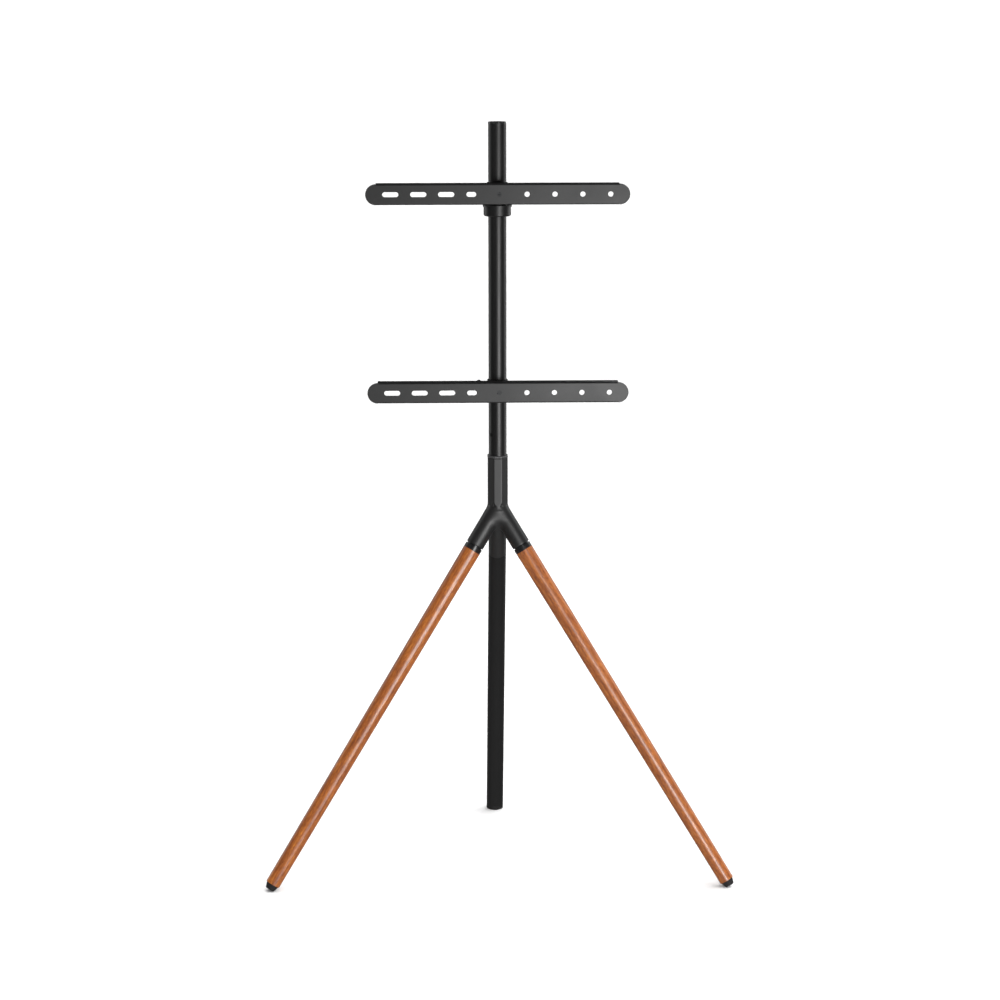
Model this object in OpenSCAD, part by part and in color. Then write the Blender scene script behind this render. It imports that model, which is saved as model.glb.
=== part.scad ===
// Easel-style tripod floor stand for a flat screen: a round pole in a cast hub on two
// turned wooden front legs and a steel rear leg, with two slotted mounting bars.
// The floor is z = 0, the front faces -Y, and the origin is the middle of the footprint.

/* [Overall] */
// Height of the pole's top end, without its cap
pole_top_z = 1392; // [1200:1:1700]
// Height of the point where the three leg axes meet
crotch_z = 687; // [560:1:830]
// Height of the upper bar's centre line below the pole's top end
upper_bar_drop = 124; // [30:1:200]
// Distance between the centre lines of the two bars
bar_spacing = 360; // [200:1:400]

/* [Pole] */
// Outer diameter of the pole
pole_d = 33; // [28:0.5:40]
// Wall of the pole, and of the steel rear leg
tube_wall = 1.5; // [1.2:0.1:2.5]
// Height of the pole's lower end above the crotch
pole_seat = 34; // [28:1:42]
// Thickness of the flat cap that closes the pole
cap_t = 2.2; // [1.5:0.1:5]
// Depth of the cap's plug
cap_plug = 14; // [8:1:30]
// Length of the inner tube that joins the pole to the hub
spigot_l = 128; // [110:1:160]
// Height of the pole's own screws above the trim ring
pole_screw_rise = 38.5; // [20:0.5:45]
// Angle of the pole's own screws from the front, towards the left
pole_screw_angle = 52; // [0:1:90]

/* [Hub] */
// Wall of the octagonal sleeve between the pole and each flat
hub_wall = 2; // [1.8:0.1:5]
// Height of the sleeve's top end above the crotch
sleeve_top = 94; // [80:1:110]
// Height of the sleeve's lower end above the crotch
sleeve_foot = 7; // [4:1:12]
// Height of the trim ring on the sleeve
trim_h = 4.5; // [3:0.5:8]
// Distance by which the trim ring stands out from the sleeve
trim_out = 0.5; // [0:0.1:1.5]
// Chamfer round the trim ring's upper edge
trim_chamfer = 1; // [0.4:0.1:1.5]
// Diameter of the two front branches
branch_d = 34; // [30:0.5:38]
// Length of each front branch, measured from the crotch
branch_l = 83; // [70:1:100]
// Length of the rear branch, measured from the crotch
rear_branch_l = 108; // [80:1:130]
// Length of the rear branch's spigot inside the rear leg
rear_spigot_l = 45; // [30:1:70]

/* [Front legs] */
// Tilt of the front legs from upright
front_tilt = 33.6; // [25:0.1:38]
// Angle of the front legs from straight ahead, seen from above
front_spread = 69.2; // [50:0.1:80]
// Diameter of the wood at its upper end
leg_top_d = 33.5; // [30:0.5:38]
// Diameter of the wood at its lower end
leg_foot_d = 27; // [22:0.5:30]
// Length of the bright ring between hub and wood
ferrule_l = 9; // [6:0.5:14]
// Length of the neck above the ring
neck_l = 2; // [1:0.5:4]
// Diameter of the neck
neck_d = 29; // [20:0.5:30]
// Diameter of the foot cap where it meets the wood
foot_top_d = 24.5; // [20:0.5:26]
// Diameter of the foot cap at its lower end
foot_end_d = 17; // [12:0.5:20]
// Length of the foot cap
foot_l = 11; // [8:0.5:16]
// Depth by which the foot cap's lower edge is worn flat by the floor
foot_flat = 1.4; // [0.5:0.1:2.5]
// Diameter of the threaded stud that holds each leg
stud_d = 8; // [6:0.5:10]
// Depth of the stud in the hub
stud_in_hub = 28; // [20:1:40]
// Wall of the threaded insert in the wood
insert_wall = 2; // [1.5:0.1:3]
// Length of the threaded insert
insert_l = 25; // [15:1:35]

/* [Rear leg] */
// Tilt of the rear leg from upright
rear_tilt = 24.3; // [18:0.1:30]
// Outer diameter of the rear leg
rear_leg_d = 33; // [28:0.5:36]
// Height of the rear foot's visible edge
rear_foot_h = 7; // [4:0.5:12]
// Depth of the rear foot's plug
rear_plug_l = 24; // [15:1:40]

/* [Bars] */
// Length of each bar over its round ends
bar_l = 475; // [460:1:560]
// Height of each bar
bar_h = 37.5; // [34:0.5:46]
// Thickness of each bar's face
bar_t = 2.5; // [2:0.1:4]
// Thickness of each bar's flanges
flange_t = 2; // [1.5:0.1:3]
// Depth of each bar from its face to the back of its flanges
bar_depth = 24; // [18:0.5:25]
// Outside radius of the bend between face and flange
bend_r = 2.6; // [2:0.1:4]
// Gap between the back of the flanges and the sleeve round the pole
flange_gap = 2; // [1:0.5:10]
// Distance of the screw pattern's middle to the right of the bar's middle
pattern_x = 2.5; // [-4:0.5:4]
// Diameter of the round screw holes
hole_d = 9.5; // [6:0.5:11]
// Distance between neighbouring screw holes
hole_pitch = 50; // [48:0.5:52]
// Width of the slots
slot_w = 9; // [6:0.5:11]
// Length of the three long slots
slot_l = 29; // [20:1:34]
// Length of the short slot
short_slot_l = 17.5; // [14:0.5:24]
// Distance by which the long slots are moved towards the pole
slot_shift = 5; // [0:0.5:8]

/* [Carriages] */
// Wall of the sleeve round the liner
sleeve_wall = 1.42; // [1.2:0.02:4]
// Wall of the plastic liner between sleeve and pole
liner_wall = 0.92; // [0.8:0.02:2.5]
// Distance by which the liner's lip stands out from the liner
liner_lip_out = 1.2; // [0.6:0.1:1.6]
// Thickness of the liner's lip
liner_lip_t = 1.2; // [0.8:0.1:2]
// Length of the sleeve below the bar's lower edge
sleeve_below = 4; // [2:0.5:10]
// Distance from the liner's top to the bar's upper edge
sleeve_short = 1; // [0:0.5:6]
// Width of the box bracket between sleeve and bar
bracket_w = 30; // [24:1:34]
// Wall of the box bracket
bracket_wall = 3; // [2:0.5:4]
// Diameter of the screw that holds each bar
bar_screw_d = 5; // [4:0.5:6]
// Diameter of that screw's countersunk head
bar_screw_head_d = 8.8; // [7:0.1:11]
// Width of the welded nut across its flats
nut_flats = 10; // [8:0.5:12]
// Thickness of the welded nut
nut_t = 5; // [3:0.5:6]

/* [Collar and wing screw] */
// Wall of the collar round the pole
collar_wall = 8.5; // [8:0.25:12]
// Distance by which the collar's upper lip stands out
collar_lip_out = 1.5; // [0.5:0.1:3]
// Height of the collar's lip
collar_lip_h = 3.2; // [2:0.1:6]
// Height of the whole collar
collar_h = 20; // [15:0.5:30]
// Chamfer round the collar's lower edge
collar_chamfer = 2; // [0.5:0.1:3]
// Diameter of the set screws and of the wing screw
clamp_screw_d = 6; // [5:0.5:8]
// Diameter of the threaded boss on the lower sleeve
boss_d = 14; // [11:0.5:16]
// Length of that boss
boss_l = 4.5; // [3:0.5:10]
// Width of the wing screw over its wings
wing_span = 34; // [26:1:38]
// Radius of each wing's round tip
wing_tip_r = 4.5; // [3:0.5:5]
// Thickness of the wings
wing_t = 3.2; // [2:0.1:5]

/* [Hidden] */
$fn = 64;

left = -1;
right = 1;
fit = 0.05;          // radial clearance of pieces that are fixed in one another
run = 0.08;          // radial clearance of pieces that turn or slide on one another
free = 0.3;          // gap between pieces that pass without touching
over = 1;            // how far a cut runs past the face that it opens

// Heights along the pole
pole_foot_z = crotch_z + pole_seat;
sleeve_top_z = crotch_z + sleeve_top;
trim_top_z = sleeve_top_z + trim_h;
upper_bar_z = pole_top_z - upper_bar_drop;
lower_bar_z = upper_bar_z - bar_spacing;
hub_screw_rows = [0.3, 0.72];      // shares of the sleeve's grip on the pole
pole_screw_z = trim_top_z + pole_screw_rise;

// Places along the leg axes, measured from the crotch
wood_start = branch_l + neck_l + ferrule_l;
front_foot_end = (crotch_z - foot_end_d / 2 * sin(front_tilt)) / cos(front_tilt)
    + foot_flat / cos(front_tilt);
wood_end = front_foot_end - foot_l;
stud_end = wood_start + insert_l - free;
foot_screw_reach = 24;             // length of the foot screw inside the wood
foot_screw_seat = wood_end + foot_l / 2;
foot_screw_tip = wood_end - foot_screw_reach;
rear_foot_reach = crotch_z * tan(rear_tilt);
rear_axis_l = crotch_z / cos(rear_tilt);

// The footprint runs from the front feet to the rear foot, and its middle is y = 0
front_foot_reach = front_foot_end * sin(front_tilt) * cos(front_spread);
front_foot_r = foot_end_d / 2;
pole_y = (front_foot_reach + front_foot_r - rear_foot_reach - rear_leg_d / 2 / cos(rear_tilt)) / 2;

// Sections across the pole and the legs
hub_flats = pole_d + 2 * hub_wall;
trim_flats = hub_flats + 2 * trim_out;
insert_d = stud_d + 2 * insert_wall;
collar_d = pole_d + 2 * collar_wall;
collar_lip_d = collar_d + 2 * collar_lip_out;
pole_bore_d = pole_d - 2 * tube_wall;
spigot_d = pole_bore_d - 2 * fit;
spigot_bore_d = spigot_d - 2 * tube_wall;
rear_bore_d = rear_leg_d - 2 * tube_wall;
slider_bore_d = pole_d + 2 * run;
liner_d = slider_bore_d + 2 * liner_wall;
liner_lip_d = liner_d + 2 * liner_lip_out;
carriage_bore_d = liner_d + 2 * run;
sleeve_d = carriage_bore_d + 2 * sleeve_wall;

// Bars and carriages
bar_reach = sleeve_d / 2 + flange_gap + bar_depth;
plate_back_y = pole_y - bar_reach + bar_t;
channel_inner_h = bar_h - 2 * flange_t;
inner_bend_r = 1;                  // inside radius of the bars' bends
bracket_h = channel_inner_h - 2 * inner_bend_r - 2 * fit;
sleeve_h = sleeve_below + bar_h - sleeve_short - liner_lip_t;
collar_top_z = upper_bar_z - bar_h / 2 - sleeve_below;
bar_straight = bar_l - bar_h;
bar_screw_l = bar_t + bracket_wall + nut_t + 1;

// Small fasteners
socket_share = 0.5;                // width of a hexagon socket as a share of its screw
csk_depth = 2;                     // depth of a countersunk head
button_d = 9;                      // button head of the hub and rear leg screws
button_h = 2.6;
button_screw_d = 5;
pole_head_d = 7;                   // low head of the pole's own screws
pole_head_h = 0.9;
pole_own_screw_d = 4;
grub_l = 7;
foot_screw_d = 4;
foot_screw_head_d = 7;
foot_screw_head_h = 2.4;
wing_boss_d = 11;
wing_boss_l = 8;
wing_tip_out = 10.5;               // how far the wing tips stand out along the screw

metal = "#1d1d20";
gloss_black = "#0c0c0d";
wood = "#b4693a";
brass = "#b08d46";
zinc = "#9a9da1";
black_oxide = "#17181a";
plastic = "#17171a";
rubber = "#121214";

// Places that several pieces share
module at_pole(z) { translate([0, pole_y, z]) children(); }

// Local +Z runs down a front leg from the crotch, and local X stays level
module on_front_leg(side) {
    turn = side == right ? front_spread - 90 : 270 - front_spread;
    at_pole(crotch_z) rotate([0, 180 - front_tilt, turn]) rotate([0, 0, 90]) children();
}

// Local +Z runs down the rear leg from the crotch
module on_rear_leg() { at_pole(crotch_z) rotate([0, 180 - rear_tilt, 90]) children(); }

// Local +Z points out of the pole at a height, at an angle from the front towards the left
module out_of_pole(z, angle) { at_pole(z) rotate([90, 0, -angle]) children(); }

// Local +Z points forwards out of a bar's face at a place along the bar
module out_of_bar(x, z) { translate([x, pole_y - bar_reach, z]) rotate([90, 0, 0]) children(); }

// Everything below or above a height, out past the feet
module below(z) { translate([0, 0, z - crotch_z]) slab(); }
module above(z) { translate([0, 0, z]) slab(); }
module slab() { translate([-2 * crotch_z, -2 * crotch_z, 0]) cube([4 * crotch_z, 4 * crotch_z, crotch_z]); }

// Tube along +Z with a clear bore
module tube(outer_d, inner_d, h) {
    difference() {
        cylinder(d = outer_d, h = h);
        translate([0, 0, -over]) cylinder(d = inner_d, h = h + 2 * over);
    }
}

// Octagonal prism or taper with flats to the front, back and sides
module octagon(foot_flats, top_flats, h) {
    rotate([0, 0, 22.5])
        cylinder(d1 = foot_flats / cos(22.5), d2 = top_flats / cos(22.5), h = h, $fn = 8);
}

// Six-sided socket cut into the end face of a screw at local z = 0, going down
module hex_socket(screw_d, depth) {
    translate([0, 0, -depth]) cylinder(d = screw_d * socket_share / cos(30), h = depth + over, $fn = 6);
}

// Button-head screw, seated on a face at local z = 0
module button_screw(screw_d, head_d, head_h, grip) {
    difference() {
        union() {
            translate([0, 0, -grip]) cylinder(d = screw_d, h = grip + head_h / 2);
            cylinder(d = head_d, h = head_h / 2);
            translate([0, 0, head_h / 2]) cylinder(d1 = head_d, d2 = head_d * 0.6, h = head_h / 2);
        }
        translate([0, 0, head_h]) hex_socket(screw_d, head_h * 0.7);
    }
}

// Countersunk screw whose head ends flush at local z = 0
module countersunk_screw(screw_d, head_d, head_h, l) {
    difference() {
        union() {
            translate([0, 0, -head_h]) cylinder(d1 = screw_d, d2 = head_d, h = head_h);
            translate([0, 0, -l]) cylinder(d = screw_d, h = l);
        }
        hex_socket(screw_d * 1.3, head_h);
    }
}

// Hole for a countersunk screw, with its clearance all round
module countersunk_hole(screw_d, head_d, head_h, l) {
    translate([0, 0, -head_h]) cylinder(d1 = screw_d + 2 * fit, d2 = head_d + 2 * fit, h = head_h);
    translate([0, 0, -l]) cylinder(d = screw_d + 2 * fit, h = l);
    translate([0, 0, -fit / 2]) cylinder(d = head_d + 2 * fit, h = over);
}

// Hub: octagonal sleeve above the crotch, one branch down each leg
hub_screw_zs = [for (share = hub_screw_rows) pole_foot_z + share * (sleeve_top_z - pole_foot_z)];

module hub() {
    color(metal) difference() {
        union() {
            at_pole(crotch_z + sleeve_foot) octagon(hub_flats, hub_flats, sleeve_top - sleeve_foot);
            at_pole(crotch_z) sphere(d = hub_flats);
            for (side = [left, right]) on_front_leg(side) cylinder(d = branch_d, h = branch_l);
            on_rear_leg() {
                cylinder(d = rear_leg_d, h = rear_branch_l);
                cylinder(d = rear_bore_d - 2 * fit, h = rear_branch_l + rear_spigot_l);
            }
        }
        at_pole(pole_foot_z) cylinder(d = pole_d + 2 * fit, h = sleeve_top);
        for (z = hub_screw_zs) out_of_pole(z, 180) cylinder(d = button_screw_d + 2 * fit, h = hub_flats);
        for (side = [left, right]) on_front_leg(side)
            translate([0, 0, branch_l - stud_in_hub])
                cylinder(d = stud_d + 2 * fit, h = stud_in_hub + over);
        rear_leg_screw_place() translate([0, 0, -rear_leg_d / 2])
            cylinder(d = button_screw_d + 2 * fit, h = rear_leg_d);
    }
}

// Ring that trims the sleeve's top end round the pole
module trim_ring() {
    color(gloss_black) at_pole(sleeve_top_z) difference() {
        union() {
            octagon(trim_flats, trim_flats, trim_h - trim_chamfer);
            translate([0, 0, trim_h - trim_chamfer])
                octagon(trim_flats, trim_flats - 2 * trim_chamfer, trim_chamfer);
        }
        translate([0, 0, -over]) cylinder(d = pole_d + 2 * fit, h = trim_h + 2 * over);
    }
}

// Two screws at the back that hold the pole and its spigot in the sleeve
module hub_screws() {
    for (z = hub_screw_zs) color(black_oxide) out_of_pole(z, 180) translate([0, 0, hub_flats / 2])
        button_screw(button_screw_d, button_d, button_h, (hub_flats - spigot_bore_d) / 2);
}

module pole() {
    color(metal) difference() {
        at_pole(pole_foot_z) tube(pole_d, pole_bore_d, pole_top_z - pole_foot_z);
        for (z = hub_screw_zs) out_of_pole(z, 180) cylinder(d = button_screw_d + 2 * fit, h = pole_d);
        for (angle = [pole_screw_angle, pole_screw_angle + 180]) out_of_pole(pole_screw_z, angle)
            cylinder(d = pole_own_screw_d + 2 * fit, h = pole_d);
    }
}

// Flat cap with a plug that fits the pole's bore
module pole_cap() {
    color(gloss_black) at_pole(pole_top_z) {
        cylinder(d = pole_d, h = cap_t - 0.6);
        translate([0, 0, cap_t - 0.6]) cylinder(d1 = pole_d, d2 = pole_d - 1.2, h = 0.6);
        translate([0, 0, -cap_plug]) cylinder(d = pole_bore_d - 2 * fit, h = cap_plug + cap_t / 2);
    }
}

// Inner tube across the hub and the foot of the pole
module pole_spigot() {
    color(zinc) difference() {
        at_pole(pole_foot_z) tube(spigot_d, spigot_bore_d, spigot_l);
        for (z = hub_screw_zs) out_of_pole(z, 180) cylinder(d = button_screw_d + 2 * fit, h = pole_d);
        for (angle = [pole_screw_angle, pole_screw_angle + 180]) out_of_pole(pole_screw_z, angle)
            cylinder(d = pole_own_screw_d + 2 * fit, h = pole_d);
    }
}

// Two low-headed screws through the pole into its spigot, on opposite sides
module pole_screws() {
    for (angle = [pole_screw_angle, pole_screw_angle + 180]) color(black_oxide)
        out_of_pole(pole_screw_z, angle) translate([0, 0, pole_d / 2])
            button_screw(pole_own_screw_d, pole_head_d, pole_head_h, (pole_d - spigot_bore_d) / 2);
}

// Turned front leg, bored at its upper end for the insert and at its foot for a screw
module front_leg(side) {
    color(wood) on_front_leg(side) difference() {
        translate([0, 0, wood_start]) cylinder(d1 = leg_top_d, d2 = leg_foot_d, h = wood_end - wood_start);
        translate([0, 0, wood_start - over]) cylinder(d = insert_d + 2 * fit, h = insert_l + 2 * over);
        translate([0, 0, foot_screw_tip - free])
            cylinder(d = foot_screw_d + 2 * fit, h = wood_end - foot_screw_tip + free + over);
    }
}
module front_leg_left() { front_leg(left); }
module front_leg_right() { front_leg(right); }

// Neck and bright ring between the hub's branch and the wood
module ferrule(side) {
    color(gloss_black) on_front_leg(side) difference() {
        union() {
            translate([0, 0, branch_l]) cylinder(d = neck_d, h = neck_l);
            translate([0, 0, branch_l + neck_l]) cylinder(d = leg_top_d, h = ferrule_l);
        }
        translate([0, 0, branch_l - over])
            cylinder(d = stud_d + 2 * fit, h = neck_l + ferrule_l + 2 * over);
    }
}
module ferrule_left() { ferrule(left); }
module ferrule_right() { ferrule(right); }

module leg_stud(side) {
    color(zinc) on_front_leg(side) translate([0, 0, branch_l - stud_in_hub + free])
        cylinder(d = stud_d, h = stud_end - branch_l + stud_in_hub - free);
}
module leg_stud_left() { leg_stud(left); }
module leg_stud_right() { leg_stud(right); }

module leg_insert(side) {
    color(brass) on_front_leg(side) translate([0, 0, wood_start])
        tube(insert_d, stud_d + 2 * fit, insert_l);
}
module leg_insert_left() { leg_insert(left); }
module leg_insert_right() { leg_insert(right); }

// Tapered foot cap, square to its leg and worn flat where it stands
module foot(side) {
    color(rubber) difference() {
        on_front_leg(side) difference() {
            translate([0, 0, wood_end]) cylinder(d1 = foot_top_d, d2 = foot_end_d, h = foot_l);
            translate([0, 0, foot_screw_seat]) cylinder(d = foot_screw_head_d + 2 * fit, h = foot_l);
            translate([0, 0, wood_end - over]) cylinder(d = foot_screw_d + 2 * fit, h = foot_l);
        }
        below(0);
    }
}
module foot_left() { foot(left); }
module foot_right() { foot(right); }

// One wood screw up through each foot cap
module foot_screws() {
    for (side = [left, right]) color(zinc) on_front_leg(side) difference() {
        union() {
            translate([0, 0, foot_screw_seat]) cylinder(d = foot_screw_head_d, h = foot_screw_head_h);
            translate([0, 0, foot_screw_tip])
                cylinder(d = foot_screw_d, h = foot_screw_seat - foot_screw_tip);
        }
        translate([0, 0, foot_screw_seat + foot_screw_head_h])
            hex_socket(foot_screw_d, foot_screw_head_h / 2);
    }
}

// Steel rear leg, square at the hub and cut level just above the floor
module rear_leg() {
    color(metal) difference() {
        on_rear_leg() translate([0, 0, rear_branch_l]) tube(rear_leg_d, rear_bore_d, rear_axis_l);
        rear_leg_screw_place() cylinder(d = button_screw_d + 2 * fit, h = rear_leg_d);
        below(rear_foot_h);
    }
}

// Middle of the rear spigot; local +Z points out of the back of the leg
module rear_leg_screw_place() {
    on_rear_leg() translate([0, 0, rear_branch_l + rear_spigot_l / 2]) rotate([0, -90, 0]) children();
}

module rear_leg_screw() {
    color(black_oxide) rear_leg_screw_place() translate([0, 0, rear_leg_d / 2])
        button_screw(button_screw_d, button_d, button_h, rear_leg_d / 2);
}

// Foot of the rear leg: a level base under the tube and a plug inside it
module foot_rear() {
    color(rubber) difference() {
        union() {
            difference() {
                on_rear_leg() cylinder(d = rear_leg_d, h = rear_axis_l + rear_leg_d);
                above(rear_foot_h);
            }
            on_rear_leg() translate([0, 0, rear_axis_l - rear_plug_l])
                cylinder(d = rear_bore_d - 2 * fit, h = rear_plug_l);
        }
        below(0);
    }
}

// Collar that the upper carriage turns on
module collar() {
    color(metal) difference() {
        at_pole(collar_top_z - collar_h) {
            cylinder(d1 = collar_d - 2 * collar_chamfer, d2 = collar_d, h = collar_chamfer);
            translate([0, 0, collar_chamfer]) cylinder(d = collar_d, h = collar_h - collar_chamfer);
            translate([0, 0, collar_h - collar_lip_h]) cylinder(d = collar_lip_d, h = collar_lip_h);
        }
        at_pole(collar_top_z - collar_h - over) cylinder(d = slider_bore_d, h = collar_h + 2 * over);
        for (angle = collar_screw_angles) collar_screw_place(angle)
            translate([0, 0, -grub_l - over]) cylinder(d = clamp_screw_d + 2 * fit, h = grub_l + 3 * over);
    }
}
collar_screw_angles = [140, 220];
module collar_screw_place(angle) {
    out_of_pole(collar_top_z - (collar_h + collar_lip_h) / 2, angle)
        translate([0, 0, pole_d / 2 + free + grub_l]) children();
}

// Two set screws at the back of the collar
module collar_set_screws() {
    for (angle = collar_screw_angles) color(zinc) collar_screw_place(angle) difference() {
        translate([0, 0, -grub_l]) cylinder(d = clamp_screw_d, h = grub_l);
        hex_socket(clamp_screw_d, 3);
    }
}

// Sleeve round the pole with a box bracket that reaches the bar's back, and on a clamped
// carriage a threaded boss on its left side
module carriage(bar_z, clamped) {
    sleeve_z = bar_z - bar_h / 2 - sleeve_below;
    bracket_reach = bar_reach - bar_t;
    color(metal) difference() {
        union() {
            at_pole(sleeve_z) cylinder(d = sleeve_d, h = sleeve_h);
            if (clamped) out_of_pole(bar_z, 90) cylinder(d = boss_d, h = sleeve_d / 2 + boss_l);
            difference() {
                translate([-bracket_w / 2, plate_back_y, bar_z - bracket_h / 2])
                    cube([bracket_w, bracket_reach - sleeve_d / 4, bracket_h]);
                translate([bracket_wall - bracket_w / 2, plate_back_y + bracket_wall, bar_z - bracket_h])
                    cube([bracket_w - 2 * bracket_wall, bracket_reach, 2 * bracket_h]);
            }
        }
        at_pole(sleeve_z - over) cylinder(d = carriage_bore_d, h = sleeve_h + 2 * over);
        out_of_bar(pattern_x, bar_z) translate([0, 0, -bar_t - 2 * bracket_wall])
            cylinder(d = bar_screw_d + 2 * fit, h = 2 * bracket_wall + bar_t);
        if (clamped) out_of_pole(bar_z, 90) cylinder(d = clamp_screw_d + 2 * run, h = sleeve_d);
    }
}
module upper_carriage() { carriage(upper_bar_z, false); }
module lower_carriage() { carriage(lower_bar_z, true); }

// Plastic liner between sleeve and pole, with a lip that sits on the sleeve
module liner(bar_z) {
    sleeve_z = bar_z - bar_h / 2 - sleeve_below;
    color(plastic) difference() {
        at_pole(sleeve_z) {
            cylinder(d = liner_d, h = sleeve_h + liner_lip_t);
            translate([0, 0, sleeve_h]) cylinder(d = liner_lip_d, h = liner_lip_t);
        }
        at_pole(sleeve_z - over) cylinder(d = slider_bore_d, h = sleeve_h + liner_lip_t + 2 * over);
    }
}
module upper_liner() { liner(upper_bar_z); }
module lower_liner() { liner(lower_bar_z); }

// Nut welded inside the box bracket, behind the bar's screw
module carriage_nut(bar_z) {
    color(zinc) out_of_bar(pattern_x, bar_z) translate([0, 0, -bar_t - bracket_wall - nut_t]) difference() {
        cylinder(d = nut_flats / cos(30), h = nut_t, $fn = 6);
        translate([0, 0, -over]) cylinder(d = bar_screw_d + 2 * fit, h = nut_t + 2 * over);
    }
}
module upper_nut() { carriage_nut(upper_bar_z); }
module lower_nut() { carriage_nut(lower_bar_z); }

module bar_screw(bar_z) {
    color(black_oxide) out_of_bar(pattern_x, bar_z)
        countersunk_screw(bar_screw_d, bar_screw_head_d, csk_depth, bar_screw_l);
}
module upper_bar_screw() { bar_screw(upper_bar_z); }
module lower_bar_screw() { bar_screw(lower_bar_z); }

// Rectangle with round corners, made from its low corner
module rounded_rect(w, h, r) {
    translate([r, 0]) square([w - 2 * r, h]);
    translate([0, r]) square([w, h - 2 * r]);
    for (x = [r, w - r], y = [r, h - r]) translate([x, y]) circle(r = r);
}

// Bent section of a bar: local X runs back from the face and local Y runs up
module channel_section() {
    difference() {
        intersection() {
            rounded_rect(2 * bar_depth, bar_h, bend_r);
            square([bar_depth, bar_h]);
        }
        translate([bar_t, flange_t]) rounded_rect(2 * bar_depth, channel_inner_h, inner_bend_r);
    }
}

// Slot centres and lengths, and hole centres, along a bar
slot_places = [for (i = [2, 3, 4]) [pattern_x + slot_shift - i * hole_pitch, slot_l]];
short_slot_place = [pattern_x - hole_pitch, short_slot_l];
hole_places = [for (i = [1 : 4]) pattern_x + i * hole_pitch];

module slot(l, w, depth) {
    for (end = [-1, 1]) translate([end * (l - w) / 2, 0, 0]) cylinder(d = w, h = depth);
    translate([(w - l) / 2, -w / 2, 0]) cube([l - w, w, depth]);
}

// Mounting bar: a channel with flat round ends, slots on the left and holes on the right
module bar(bar_z) {
    color(metal) difference() {
        union() {
            translate([-bar_straight / 2, pole_y - bar_reach, bar_z - bar_h / 2]) rotate([90, 0, 90])
                linear_extrude(bar_straight) channel_section();
            for (side = [left, right]) intersection() {
                out_of_bar(side * bar_straight / 2, bar_z) translate([0, 0, -bar_t])
                    cylinder(d = bar_h, h = bar_t);
                translate([side * bar_l / 2 - bar_h / 2, pole_y - bar_l, bar_z - bar_h])
                    cube([bar_h, bar_l, 2 * bar_h]);
            }
        }
        for (place = concat(slot_places, [short_slot_place]))
            out_of_bar(place.x, bar_z) translate([0, 0, -bar_t - over])
                slot(place.y, slot_w, bar_t + 2 * over);
        for (x = hole_places)
            out_of_bar(x, bar_z) translate([0, 0, -bar_t - over])
                cylinder(d = hole_d, h = bar_t + 2 * over);
        out_of_bar(pattern_x, bar_z)
            countersunk_hole(bar_screw_d, bar_screw_head_d, csk_depth, bar_t + over);
    }
}
module upper_bar() { bar(upper_bar_z); }
module lower_bar() { bar(lower_bar_z); }

// Wing screw whose shank runs through the boss and bears on the liner
module lower_wing_screw() {
    shank_start = liner_d / 2 + free;
    head_start = sleeve_d / 2 + boss_l + free;
    tip_reach = wing_span / 2 - wing_tip_r;
    color(metal) out_of_pole(lower_bar_z, 90) {
        translate([0, 0, shank_start])
            cylinder(d = clamp_screw_d, h = head_start + wing_boss_l - shank_start);
        translate([0, 0, head_start]) cylinder(d1 = wing_boss_d, d2 = wing_boss_d * 0.8, h = wing_boss_l);
        for (side = [left, right]) translate([0, 0, head_start]) rotate([90, 0, 90])
            translate([0, 0, -wing_t / 2]) linear_extrude(wing_t) wing(side, tip_reach);
    }
}

// Outline of one wing: local X runs along the span and local Y along the screw
module wing(side, reach) {
    translate([side * reach, wing_tip_out]) circle(r = wing_tip_r);
    polygon([
        [0, 1], [side * wing_boss_d / 2, 1],
        [side * (reach + wing_tip_r * 0.8), wing_tip_out - wing_tip_r * 0.6],
        [side * (reach - wing_tip_r * 0.6), wing_tip_out + wing_tip_r * 0.8],
        [side * wing_boss_d / 4, wing_boss_l - 1], [0, wing_boss_l - 1]
    ]);
}

hub();
trim_ring();
hub_screws();
pole();
pole_cap();
pole_spigot();
pole_screws();
front_leg_left();
front_leg_right();
ferrule_left();
ferrule_right();
leg_stud_left();
leg_stud_right();
leg_insert_left();
leg_insert_right();
foot_left();
foot_right();
foot_screws();
rear_leg();
rear_leg_screw();
foot_rear();
collar();
collar_set_screws();
upper_carriage();
upper_liner();
upper_nut();
upper_bar();
upper_bar_screw();
lower_liner();
lower_carriage();
lower_nut();
lower_bar();
lower_bar_screw();
lower_wing_screw();
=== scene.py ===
import math

import bpy
import numpy as np
from mathutils import Matrix, Vector


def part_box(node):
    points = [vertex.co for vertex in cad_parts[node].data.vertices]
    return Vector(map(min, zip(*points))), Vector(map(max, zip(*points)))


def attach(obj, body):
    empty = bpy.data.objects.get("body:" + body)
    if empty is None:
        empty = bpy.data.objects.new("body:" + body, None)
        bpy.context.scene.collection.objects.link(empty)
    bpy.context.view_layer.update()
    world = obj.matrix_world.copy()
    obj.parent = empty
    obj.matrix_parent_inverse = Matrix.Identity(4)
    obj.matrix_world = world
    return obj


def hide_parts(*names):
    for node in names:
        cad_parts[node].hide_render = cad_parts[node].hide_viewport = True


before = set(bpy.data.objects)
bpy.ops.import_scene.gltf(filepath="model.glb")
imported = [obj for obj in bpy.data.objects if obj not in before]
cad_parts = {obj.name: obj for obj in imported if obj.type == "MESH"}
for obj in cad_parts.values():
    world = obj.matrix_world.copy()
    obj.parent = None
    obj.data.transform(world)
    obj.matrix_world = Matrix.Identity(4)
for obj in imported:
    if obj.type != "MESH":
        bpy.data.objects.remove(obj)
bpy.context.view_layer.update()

# ---------------------------------------------------------------- places read from the frame
pole_low, pole_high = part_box("pole")
pole_axis = Vector(((pole_low.x + pole_high.x) / 2, (pole_low.y + pole_high.y) / 2, 0))
MM = 0.001
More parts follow.
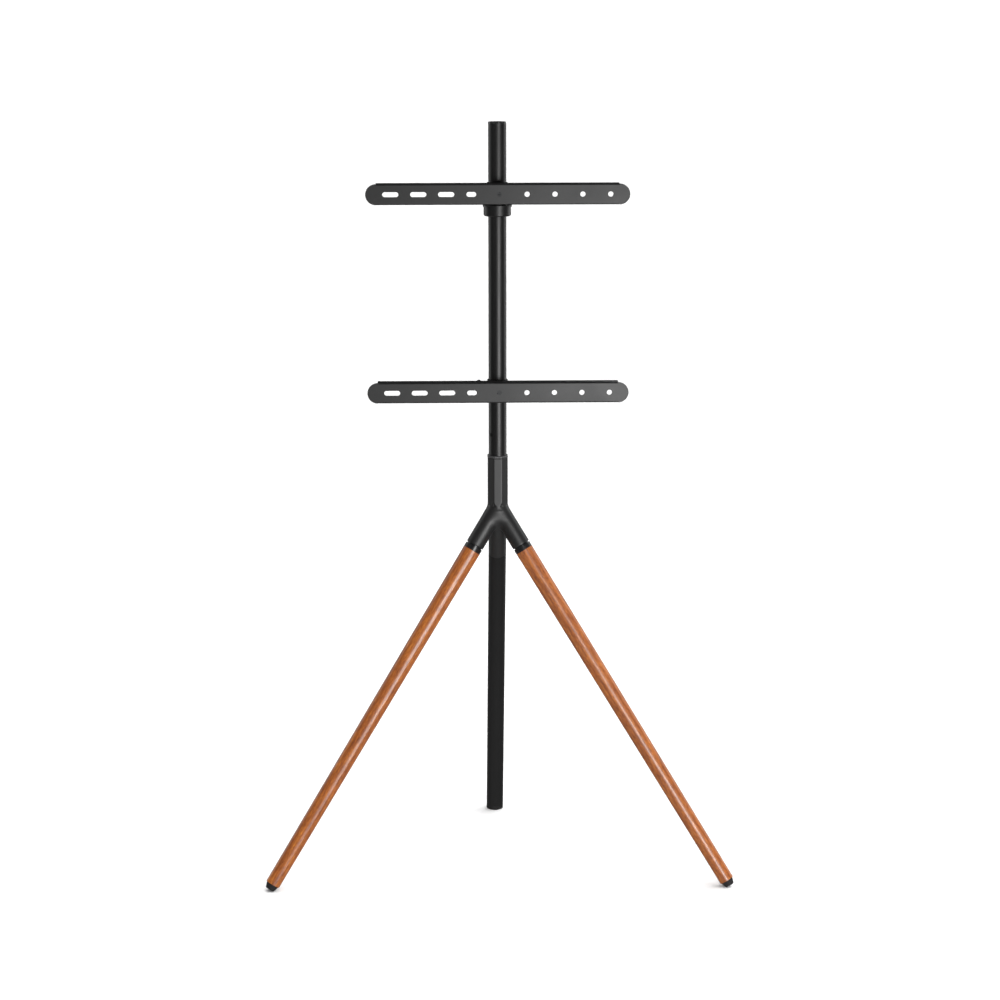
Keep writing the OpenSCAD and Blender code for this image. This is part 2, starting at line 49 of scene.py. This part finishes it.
pole_r = round((pole_high.x - pole_low.x) / 2 / MM, 1)


# ---------------------------------------------------------------- material helpers
class Nodes:
    """Short calls for building one material's node tree."""

    def __init__(self, name):
        self.material = bpy.data.materials.new(name)
        self.material.use_nodes = True
        self.tree = self.material.node_tree
        self.shader = self.tree.nodes["Principled BSDF"]
        self.coords = self.tree.nodes.new("ShaderNodeTexCoord").outputs["Object"]

    def add(self, kind, inputs=None, **settings):
        node = self.tree.nodes.new(kind)
        for key, value in settings.items():
            setattr(node, key, value)
        for key, value in (inputs or {}).items():
            self.put(node.inputs[key], value)
        return node

    def put(self, socket, value):
        if isinstance(value, bpy.types.NodeSocket):
            self.tree.links.new(value, socket)
        else:
            socket.default_value = value

    def stretched(self, scale, turn):
        """Object coordinates turned, then scaled along each axis."""
        turned = self.add("ShaderNodeMapping", {"Vector": self.coords, "Rotation": turn},
                          vector_type="TEXTURE")
        sized = self.add("ShaderNodeMapping", {"Vector": turned.outputs[0], "Scale": scale})
        return sized.outputs[0]

    def noise(self, vector, scale, detail=3.0, roughness=0.5, distortion=0.0):
        node = self.add("ShaderNodeTexNoise", {
            "Vector": vector, "Scale": scale, "Detail": detail,
            "Roughness": roughness, "Distortion": distortion,
        })
        return node.outputs["Fac"]

    def ramp(self, factor, *stops):
        node = self.add("ShaderNodeValToRGB", {"Fac": factor})
        points = node.color_ramp.elements
        while len(points) < len(stops):
            points.new(0.5)
        for point, (place, colour) in zip(points, stops):
            point.position = place
            point.color = (*colour, 1)
        return node.outputs["Color"]

    def span(self, factor, low, high):
        """A noise's usual range, 0.3 to 0.7, spread from low to high."""
        node = self.add("ShaderNodeMapRange", {
            "Value": factor, "From Min": 0.3, "From Max": 0.7, "To Min": low, "To Max": high,
        })
        return node.outputs["Result"]

    def mix(self, factor, a, b, blend):
        node = self.add("ShaderNodeMix", data_type="RGBA", blend_type=blend)
        colours = [s for s in node.inputs if s.type == "RGBA"]
        self.put(node.inputs[0], factor)
        self.put(colours[0], a)
        self.put(colours[1], b)
        return [s for s in node.outputs if s.type == "RGBA"][0]

    def bump(self, height, strength, distance, normal=None):
        node = self.add("ShaderNodeBump", {"Height": height, "Strength": strength, "Distance": distance})
        if normal is not None:
            self.put(node.inputs["Normal"], normal)
        return node.outputs["Normal"]

    def finish(self, colour, roughness, normal=None, **sockets):
        self.put(self.shader.inputs["Base Color"], colour)
        self.put(self.shader.inputs["Roughness"], roughness)
        if normal is not None:
            self.put(self.shader.inputs["Normal"], normal)
        for key, value in sockets.items():
            self.put(self.shader.inputs[key.replace("_", " ")], value)
        return self.material


def dark_grey(level, blue):
    return (level, level, level * blue)


def powder_coat(name, tone=0.002, low=0.39, high=0.46, gloss=0.6):
    """Black satin powder coat: fine orange-peel grain, soft cloudiness, a few specks of dust."""
    n = Nodes(name)
    cloud = n.noise(n.coords, 14.0, 4.0, 0.6)
    grain = n.noise(n.coords, 1500.0, 2.0, 0.55)
    peel = n.noise(n.coords, 420.0, 2.0, 0.5)
    colour = n.ramp(cloud, (0.3, dark_grey(tone * 0.8, 1.075)), (0.7, dark_grey(tone * 1.25, 1.04)))
    dust = n.ramp(n.noise(n.coords, 900.0, 1.0), (0.73, (0, 0, 0)), (0.8, (1, 1, 1)))
    colour = n.mix(dust, colour, (*dark_grey(tone * 4, 1.05), 1), "MIX")
    rough = n.span(cloud, low, high)
    normal = n.bump(grain, 0.25, 0.00006, n.bump(peel, 0.35, 0.00012))
    return n.finish(colour, rough, normal, Specular_IOR_Level=gloss)


def gloss_black(name, low, high, lacquer):
    """Black enamel over turned metal, slightly uneven, with as much clear lacquer as is asked for."""
    n = Nodes(name)
    cloud = n.noise(n.coords, 60.0, 3.0)
    colour = n.ramp(cloud, (0.3, (0.004, 0.004, 0.0045)), (0.7, (0.009, 0.009, 0.0095)))
    rough = n.span(n.noise(n.coords, 240.0, 3.0), low, high)
    normal = n.bump(n.noise(n.coords, 500.0, 2.0), 0.12, 0.00008)
    return n.finish(colour, rough, normal, Coat_Weight=lacquer, Coat_Roughness=0.12, Specular_IOR_Level=0.5)


def oiled_wood(name, turn):
    """Orange-brown turned wood with its grain along local Z after the turn."""
    n = Nodes(name)
    figure = n.noise(n.stretched((150, 150, 22), turn), 1.0, 4.0, 0.6, 0.3)
    mottle = n.noise(n.stretched((420, 420, 130), turn), 1.0, 3.0, 0.6, 0.3)
    streak = n.noise(n.stretched((460, 460, 28), turn), 1.0, 3.0, 0.6, 0.2)
    pores = n.noise(n.stretched((1000, 1000, 75), turn), 1.0, 2.0, 0.6)
    base = n.ramp(figure, (0.3, (0.22, 0.055, 0.0065)), (0.5, (0.3, 0.084, 0.01)),
                  (0.7, (0.38, 0.122, 0.016)))
    warm = n.ramp(mottle, (0.34, (0.66, 0.52, 0.45)), (0.5, (1, 1, 1)), (0.66, (1.28, 1.3, 1.2)))
    colour = n.mix(0.8, base, warm, "MULTIPLY")
    dark = n.ramp(streak, (0.34, (0.55, 0.48, 0.42)), (0.6, (1, 1, 1)))
    colour = n.mix(0.75, colour, dark, "MULTIPLY")
    pits = n.ramp(pores, (0.3, (0.5, 0.42, 0.36)), (0.42, (1, 1, 1)))
    colour = n.mix(0.55, colour, pits, "MULTIPLY")
    rough = n.span(streak, 0.42, 0.32)
    normal = n.bump(pores, 0.2, 0.00012, n.bump(streak, 0.25, 0.00018))
    return n.finish(colour, rough, normal, Specular_IOR_Level=0.85)


def bare_metal(name, low, high):
    """Plated or turned metal of the screws, nuts, studs and inserts, cloudy between two shades."""
    n = Nodes(name)
    cloud = n.noise(n.coords, 180.0, 3.0)
    colour = n.ramp(cloud, (0.3, low), (0.7, high))
    rough = n.span(n.noise(n.coords, 800.0, 2.0), 0.26, 0.42)
    normal = n.bump(n.noise(n.coords, 1800.0, 2.0), 0.3, 0.00004)
    return n.finish(colour, rough, normal, Metallic=1.0)


def black_rubber(name):
    """Matt black moulded rubber of the feet, scuffed lighter in patches."""
    n = Nodes(name)
    cloud = n.noise(n.coords, 55.0, 4.0, 0.6)
    colour = n.ramp(cloud, (0.35, (0.008, 0.008, 0.0085)), (0.75, (0.022, 0.021, 0.021)))
    rough = n.span(cloud, 0.5, 0.72)
    normal = n.bump(n.noise(n.coords, 1300.0, 3.0), 0.4, 0.00008)
    return n.finish(colour, rough, normal, Specular_IOR_Level=0.35)


def dressed(material, *nodes):
    """Puts a material in the slots of carried-over CAD nodes."""
    for name in nodes:
        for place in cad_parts[name].material_slots:
            place.material = material


# ---------------------------------------------------------------- camera
camera_turn = math.radians(-1.253)
camera_tilt = math.radians(11.931)
camera_roll = math.radians(-0.07)
camera_away = 4.778
camera_height = 1.709
aim_right = math.radians(0.0504)
camera_data = bpy.data.cameras.new("camera")
camera_data.sensor_width = 36.0
camera_data.lens = 94.97
camera = bpy.data.objects.new("camera", camera_data)
camera.location = (
    pole_axis.x + camera_away * math.sin(camera_turn),
    pole_axis.y - camera_away * math.cos(camera_turn),
    camera_height,
)
camera.rotation_euler = (
    Matrix.Rotation(camera_turn - aim_right, 3, "Z")
    @ Matrix.Rotation(math.pi / 2 - camera_tilt, 3, "X")
    @ Matrix.Rotation(camera_roll, 3, "Z")
).to_euler()
bpy.context.scene.collection.objects.link(camera)
bpy.context.scene.camera = camera


# ---------------------------------------------------------------- studio
def softbox(name, azimuth, away, height, width, tall, power, aim_z):
    """A rectangular light round the pole: azimuth 0 is in front of it, and 90 at its right."""
    data = bpy.data.lights.new(name, "AREA")
    data.shape = "RECTANGLE"
    data.size = width
    data.size_y = tall
    data.energy = power
    lamp = bpy.data.objects.new(name, data)
    a = math.radians(azimuth)
    lamp.location = (pole_axis.x + away * math.sin(a), pole_axis.y - away * math.cos(a), height)
    aim = Vector((pole_axis.x, pole_axis.y, aim_z)) - lamp.location
    lamp.rotation_euler = aim.to_track_quat("-Z", "Y").to_euler()
    bpy.context.scene.collection.objects.link(lamp)


def overhead_light():
    """A wide soft sky light from above and the right, which the gloss doesn't show."""
    data = bpy.data.lights.new("overhead", "SUN")
    data.energy = 4.0
    data.angle = math.radians(100)
    sky = bpy.data.objects.new("overhead", data)
    sky.location = (0, 0, 4)
    sky.rotation_euler = (math.radians(12), math.radians(25), 0)
    sky.visible_glossy = False
    bpy.context.scene.collection.objects.link(sky)


def surround(levels):
    """White for the camera, and a dimmer grey for all other rays, by how steeply they rise or fall.

    Each pair is a place and its level: place 0 is straight down, 0.5 level and 1 straight up.
    """
    world = bpy.data.worlds.new("studio")
    bpy.context.scene.world = world
    world.use_nodes = True
    nodes = world.node_tree.nodes
    links = world.node_tree.links
    shown = nodes["Background"]
    shown.inputs["Color"].default_value = (1, 1, 1, 1)
    direction = nodes.new("ShaderNodeTexCoord")
    height = nodes.new("ShaderNodeSeparateXYZ")
    links.new(direction.outputs["Generated"], height.inputs[0])
    rise = nodes.new("ShaderNodeMapRange")
    rise.inputs["From Min"].default_value = -1.0
    links.new(height.outputs["Z"], rise.inputs["Value"])
    bands = nodes.new("ShaderNodeValToRGB")
    links.new(rise.outputs["Result"], bands.inputs["Fac"])
    stops = bands.color_ramp.elements
    while len(stops) < len(levels):
        stops.new(0.5)
    for stop, (place, level) in zip(stops, levels):
        stop.position = place
        stop.color = (level, level, level, 1)
    ambient = nodes.new("ShaderNodeBackground")
    links.new(bands.outputs["Color"], ambient.inputs["Color"])
    rays = nodes.new("ShaderNodeLightPath")
    either = nodes.new("ShaderNodeMixShader")
    links.new(rays.outputs["Is Camera Ray"], either.inputs[0])
    links.new(ambient.outputs[0], either.inputs[1])
    links.new(shown.outputs[0], either.inputs[2])
    links.new(either.outputs[0], nodes["World Output"].inputs["Surface"])


def pale_floor(reach):
    mesh = bpy.data.meshes.new("floor")
    corners = [(-reach, -reach, 0), (reach, -reach, 0), (reach, reach, 0), (-reach, reach, 0)]
    mesh.from_pydata(corners, [], [(0, 1, 2, 3)])
    pale = Nodes("pale_floor")
    speckle = pale.noise(pale.coords, 30.0, 2.0)
    colour = pale.ramp(speckle, (0.3, (0.9, 0.9, 0.9)), (0.7, (0.92, 0.92, 0.92)))
    mesh.materials.append(pale.finish(colour, 0.9, Specular_IOR_Level=0.0))
    floor = bpy.data.objects.new("floor", mesh)
    floor.location.z = -0.0005
    floor.visible_glossy = False
    bpy.context.scene.collection.objects.link(floor)


softbox("key", 18.5, 2.6, 0.3, 0.6, 1.5, 57, 0.3)
softbox("fill", -48, 3.6, 1.4, 1.4, 2.4, 3, 0.9)
softbox("rim_left", -118, 2.6, 1.1, 0.9, 3.0, 15, 0.9)
softbox("rim_right", 118, 2.6, 1.1, 0.9, 3.0, 22, 0.9)
softbox("back", 163, 3.0, 0.8, 0.8, 1.6, 16, 0.9)
overhead_light()
surround(((0.0, 0.33), (0.07, 0.33), (0.2, 0.14), (0.485, 0.14), (0.51, 0.02), (0.75, 0.02), (0.9, 0.2)))
pale_floor(200.0)
bpy.context.scene.view_settings.view_transform = "Standard"

# ---------------------------------------------------------------- the hub's casting, with its fillets
# All in mm from the crotch, the point where the pole's axis and the legs' axes meet
hub_low, hub_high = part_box("hub")
sleeve_top = 94.0
crotch = Vector((pole_axis.x, pole_axis.y, hub_high.z - sleeve_top * MM))
sleeve_half = pole_r + 2.0
bore_r = pole_r + 0.05
bore_foot = round((pole_low.z - crotch.z) / MM, 1)
flats_foot = 2.0       # where the flats end in their middles
flats_rise = 7.0       # how much higher they end at their corners
core_r = 17.2          # round body inside the sleeve
core_foot = -4.0
sleeve_corner = 0.7
sleeve_rim = 1.6
rear_rim = 0.6
rear_fillet = 7.0
core_fillet = 3.0
sleeve_fillet = 1.6
web_top = 6.0          # the fillet between the front branches grows from here
web_drop = 26.0        # over this height
web_small = 2.0
web_big = 17.0
hub_cell = 1.3
front_r = 17.0
front_l = 83.0
rear_r = 16.5
rear_l = 108.0
spigot_r = 14.9
spigot_l = 45.0
front_tilt = math.radians(33.6)
front_spread = math.radians(69.2)
rear_tilt = math.radians(24.3)
rear_way = np.array((0.0, math.sin(rear_tilt), -math.cos(rear_tilt)))
front_ways = [np.array((side * math.sin(front_tilt) * math.sin(front_spread),
                        -math.sin(front_tilt) * math.cos(front_spread), -math.cos(front_tilt)))
              for side in (-1, 1)]


def soft_union(a, b, k):
    h = np.clip(0.5 + 0.5 * (b - a) / k, 0, 1)
    return b * (1 - h) + a * h - k * h * (1 - h)


def soft_cut(a, b, k):
    return -soft_union(-a, -b, k)


def rod(p, way, radius, start, end, edge=1.2):
    """Distance to a round rod along a way from the crotch, with a small radius on its end edges."""
    along = p @ way
    across = np.linalg.norm(p - along[:, None] * way, axis=1) - radius
    return soft_cut(across, np.maximum(start - along, along - end), edge)


def octagon(x, y, half, corner):
    """Distance to an octagon's outline, its corners rounded a little."""
    turned = math.sqrt(0.5)
    flats = soft_cut(np.abs(x), np.abs(y), corner)
    diagonals = soft_cut(np.abs(x + y) * turned, np.abs(x - y) * turned, corner)
    return soft_cut(flats, diagonals, corner) - half


def hub_field(p):
    """Signed distance in mm from the casting's surface, negative inside it."""
    x, y, z = p.T
    # The flats end low in their middles and higher at their corners
    turn = np.abs((np.degrees(np.arctan2(y, x)) + 22.5) % 45 - 22.5) / 22.5
    foot = flats_foot + flats_rise * turn ** 2.5
    sleeve = soft_cut(octagon(x, y, sleeve_half, sleeve_corner),
                      np.maximum(z - sleeve_top, foot - z), sleeve_rim)
    core = np.maximum(np.hypot(x, y) - core_r, np.maximum(z - sleeve_top, core_foot - z))
    left, right = (rod(p, way, front_r, 0, front_l) for way in front_ways)
    web = web_small + (web_big - web_small) * np.clip((web_top - z) / web_drop, 0, 1)
    legs = soft_union(left, right, web)
    legs = soft_union(legs, rod(p, rear_way, rear_r, 0, rear_l, rear_rim), rear_fillet)
    legs = soft_union(legs, core, core_fillet)
    body = soft_union(legs, sleeve, sleeve_fillet)
    body = np.minimum(body, rod(p, rear_way, spigot_r, 0, rear_l + spigot_l))
    bore = np.maximum(np.hypot(x, y) - bore_r, bore_foot - z)
    return np.maximum(body, -bore)


def skin(field, low, high, step):
    """Quads on a field's zero surface: one point in each cell that it crosses, moved onto the surface."""
    axes = [np.arange(low[i], high[i] + step, step) for i in range(3)]
    grid = np.stack(np.meshgrid(*axes, indexing="ij"), axis=-1)
    values = field(grid.reshape(-1, 3)).reshape(grid.shape[:3])
    cells = tuple(n - 1 for n in values.shape)
    total = np.zeros(cells + (3,))
    count = np.zeros(cells)
    crossings = []
    for axis in range(3):
        head = np.take(values, range(cells[axis]), axis)
        tail = np.take(values, range(1, cells[axis] + 1), axis)
        crossed = (head < 0) != (tail < 0)
        share = np.where(crossed, head / np.where(crossed, head - tail, 1), 0)
        point = np.take(grid, range(cells[axis]), axis).copy()
        point[..., axis] += share * step
        point *= crossed[..., None]
        others = [i for i in range(3) if i != axis]
        for first in (0, 1):
            for second in (0, 1):
                part = [slice(None)] * 3
                part[others[0]] = slice(first, first + cells[others[0]])
                part[others[1]] = slice(second, second + cells[others[1]])
                total += point[tuple(part)]
                count += crossed[tuple(part)]
        crossings.append((crossed, head < 0, others))
    used = count > 0
    number = np.full(cells, -1)
    number[used] = np.arange(used.sum())
    points = total[used] / count[used][:, None]
    faces = []
    for axis, (crossed, inside, others) in enumerate(crossings):
        place = np.argwhere(crossed)
        place = place[(place[:, others[0]] > 0) & (place[:, others[1]] > 0)]
        place = place[(place[:, others[0]] < cells[others[0]]) & (place[:, others[1]] < cells[others[1]])]
        corners = []
        for back_a, back_b in ((1, 1), (0, 1), (0, 0), (1, 0)):
            at = place.copy()
            at[:, others[0]] -= back_a
            at[:, others[1]] -= back_b
            corners.append(number[tuple(at.T)])
        quad = np.stack(corners, axis=1)
        flip = inside[tuple(place.T)] == (axis == 1)
        quad[flip] = quad[flip][:, ::-1]
        faces.append(quad)
    # Four Newton steps, none of them over half a cell, take the points onto the surface
    probe = 0.05
    for _ in range(4):
        slope = np.stack([(field(points + probe * side) - field(points - probe * side)) / (2 * probe)
                          for side in np.eye(3)], axis=1)
        size = np.maximum((slope ** 2).sum(axis=1), 0.25)
        move = (field(points) / size)[:, None] * slope
        points = points - np.clip(move, -0.5 * step, 0.5 * step)
    return points, np.concatenate(faces)


def mesh_piece(name, points, faces, material, body):
    mesh = bpy.data.meshes.new(name)
    mesh.from_pydata(points.tolist(), [], faces.tolist())
    mesh.polygons.foreach_set("use_smooth", np.ones(len(mesh.polygons), dtype=bool))
    mesh.materials.append(material)
    mesh.update()
    piece = bpy.data.objects.new(name, mesh)
    bpy.context.scene.collection.objects.link(piece)
    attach(piece, body)
    return piece


margin = 3.0           # mm of empty cells round the hub's box
field_low = (np.array(hub_low) - np.array(crotch)) / MM - margin
field_high = (np.array(hub_high) - np.array(crotch)) / MM + margin
points, faces = skin(hub_field, field_low, field_high, hub_cell)
hub_casting = mesh_piece("hub_casting", points * MM + np.array(crotch), faces,
                         powder_coat("cast_coat", 0.002, 0.47, 0.53, 1.0), "stand")
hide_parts("hub")

# ---------------------------------------------------------------- trim ring with its rounded upper edge
ring_low, ring_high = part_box("trim_ring")
ring_half = (ring_high.x - ring_low.x) / MM / 2
ring_h = (ring_high.z - ring_low.z) / MM
ring_corner = 1.6
ring_top_round = 3.0
ring_foot_round = 1.0
ring_margin = 2.0
ring_cell = 0.6


def ring_field(p):
    x, y, z = p.T
    body = soft_cut(octagon(x, y, ring_half, ring_corner), z - ring_h, ring_top_round)
    body = soft_cut(body, -z, ring_foot_round)
    return np.maximum(body, bore_r - np.hypot(x, y))


reach = ring_half + ring_margin
points, faces = skin(ring_field, (-reach, -reach, -ring_margin),
                     (reach, reach, ring_h + ring_margin), ring_cell)
ring_foot = np.array((pole_axis.x, pole_axis.y, ring_low.z))
# The ring's coat gets a base colour fifteen times lighter than the other black coat: painted sheen standing
# in for the light on its top and rounded edge.
ring = mesh_piece("trim_ring_rounded", points * MM + ring_foot, faces,
                  powder_coat("ring_coat_painted_sheen", 0.03, 0.4, 0.46, 1.0), "stand")
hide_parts("trim_ring")

# ---------------------------------------------------------------- materials on the CAD nodes
dressed(powder_coat("powder_coat"), "pole", "rear_leg", "collar",
        "upper_carriage", "lower_carriage", "lower_wing_screw")
dressed(powder_coat("bar_coat", 0.002, 0.42, 0.49, 0.75), "upper_bar", "lower_bar")
dressed(gloss_black("gloss_black", 0.12, 0.22, 1.0), "pole_cap")
dressed(gloss_black("ferrule_black", 0.26, 0.34, 0.0), "ferrule_left", "ferrule_right")
dressed(bare_metal("zinc_plate", (0.32, 0.33, 0.34), (0.46, 0.47, 0.48)),
        "pole_spigot", "leg_stud_left", "leg_stud_right", "foot_screws",
        "collar_set_screws", "upper_nut", "lower_nut")
dressed(bare_metal("brass_insert", (0.46, 0.3, 0.1), (0.62, 0.43, 0.17)),
        "leg_insert_left", "leg_insert_right")
dressed(bare_metal("black_oxide", (0.04, 0.041, 0.042), (0.058, 0.059, 0.06)),
        "hub_screws", "pole_screws", "rear_leg_screw", "upper_bar_screw", "lower_bar_screw")
dressed(black_rubber("black_rubber"), "foot_left", "foot_right", "foot_rear")
dressed(powder_coat("liner_plastic", 0.008, 0.45, 0.6), "upper_liner", "lower_liner")
for side in ("left", "right"):
    low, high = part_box("front_leg_" + side)
    out = 1 if side == "right" else -1
    foot = Vector(((high.x if out > 0 else low.x), low.y, low.z))
    head = Vector(((low.x if out > 0 else high.x), high.y, high.z))
    turn = (head - foot).to_track_quat("Z", "Y").to_euler()
    dressed(oiled_wood("oiled_wood_" + side, tuple(turn)), "front_leg_" + side)
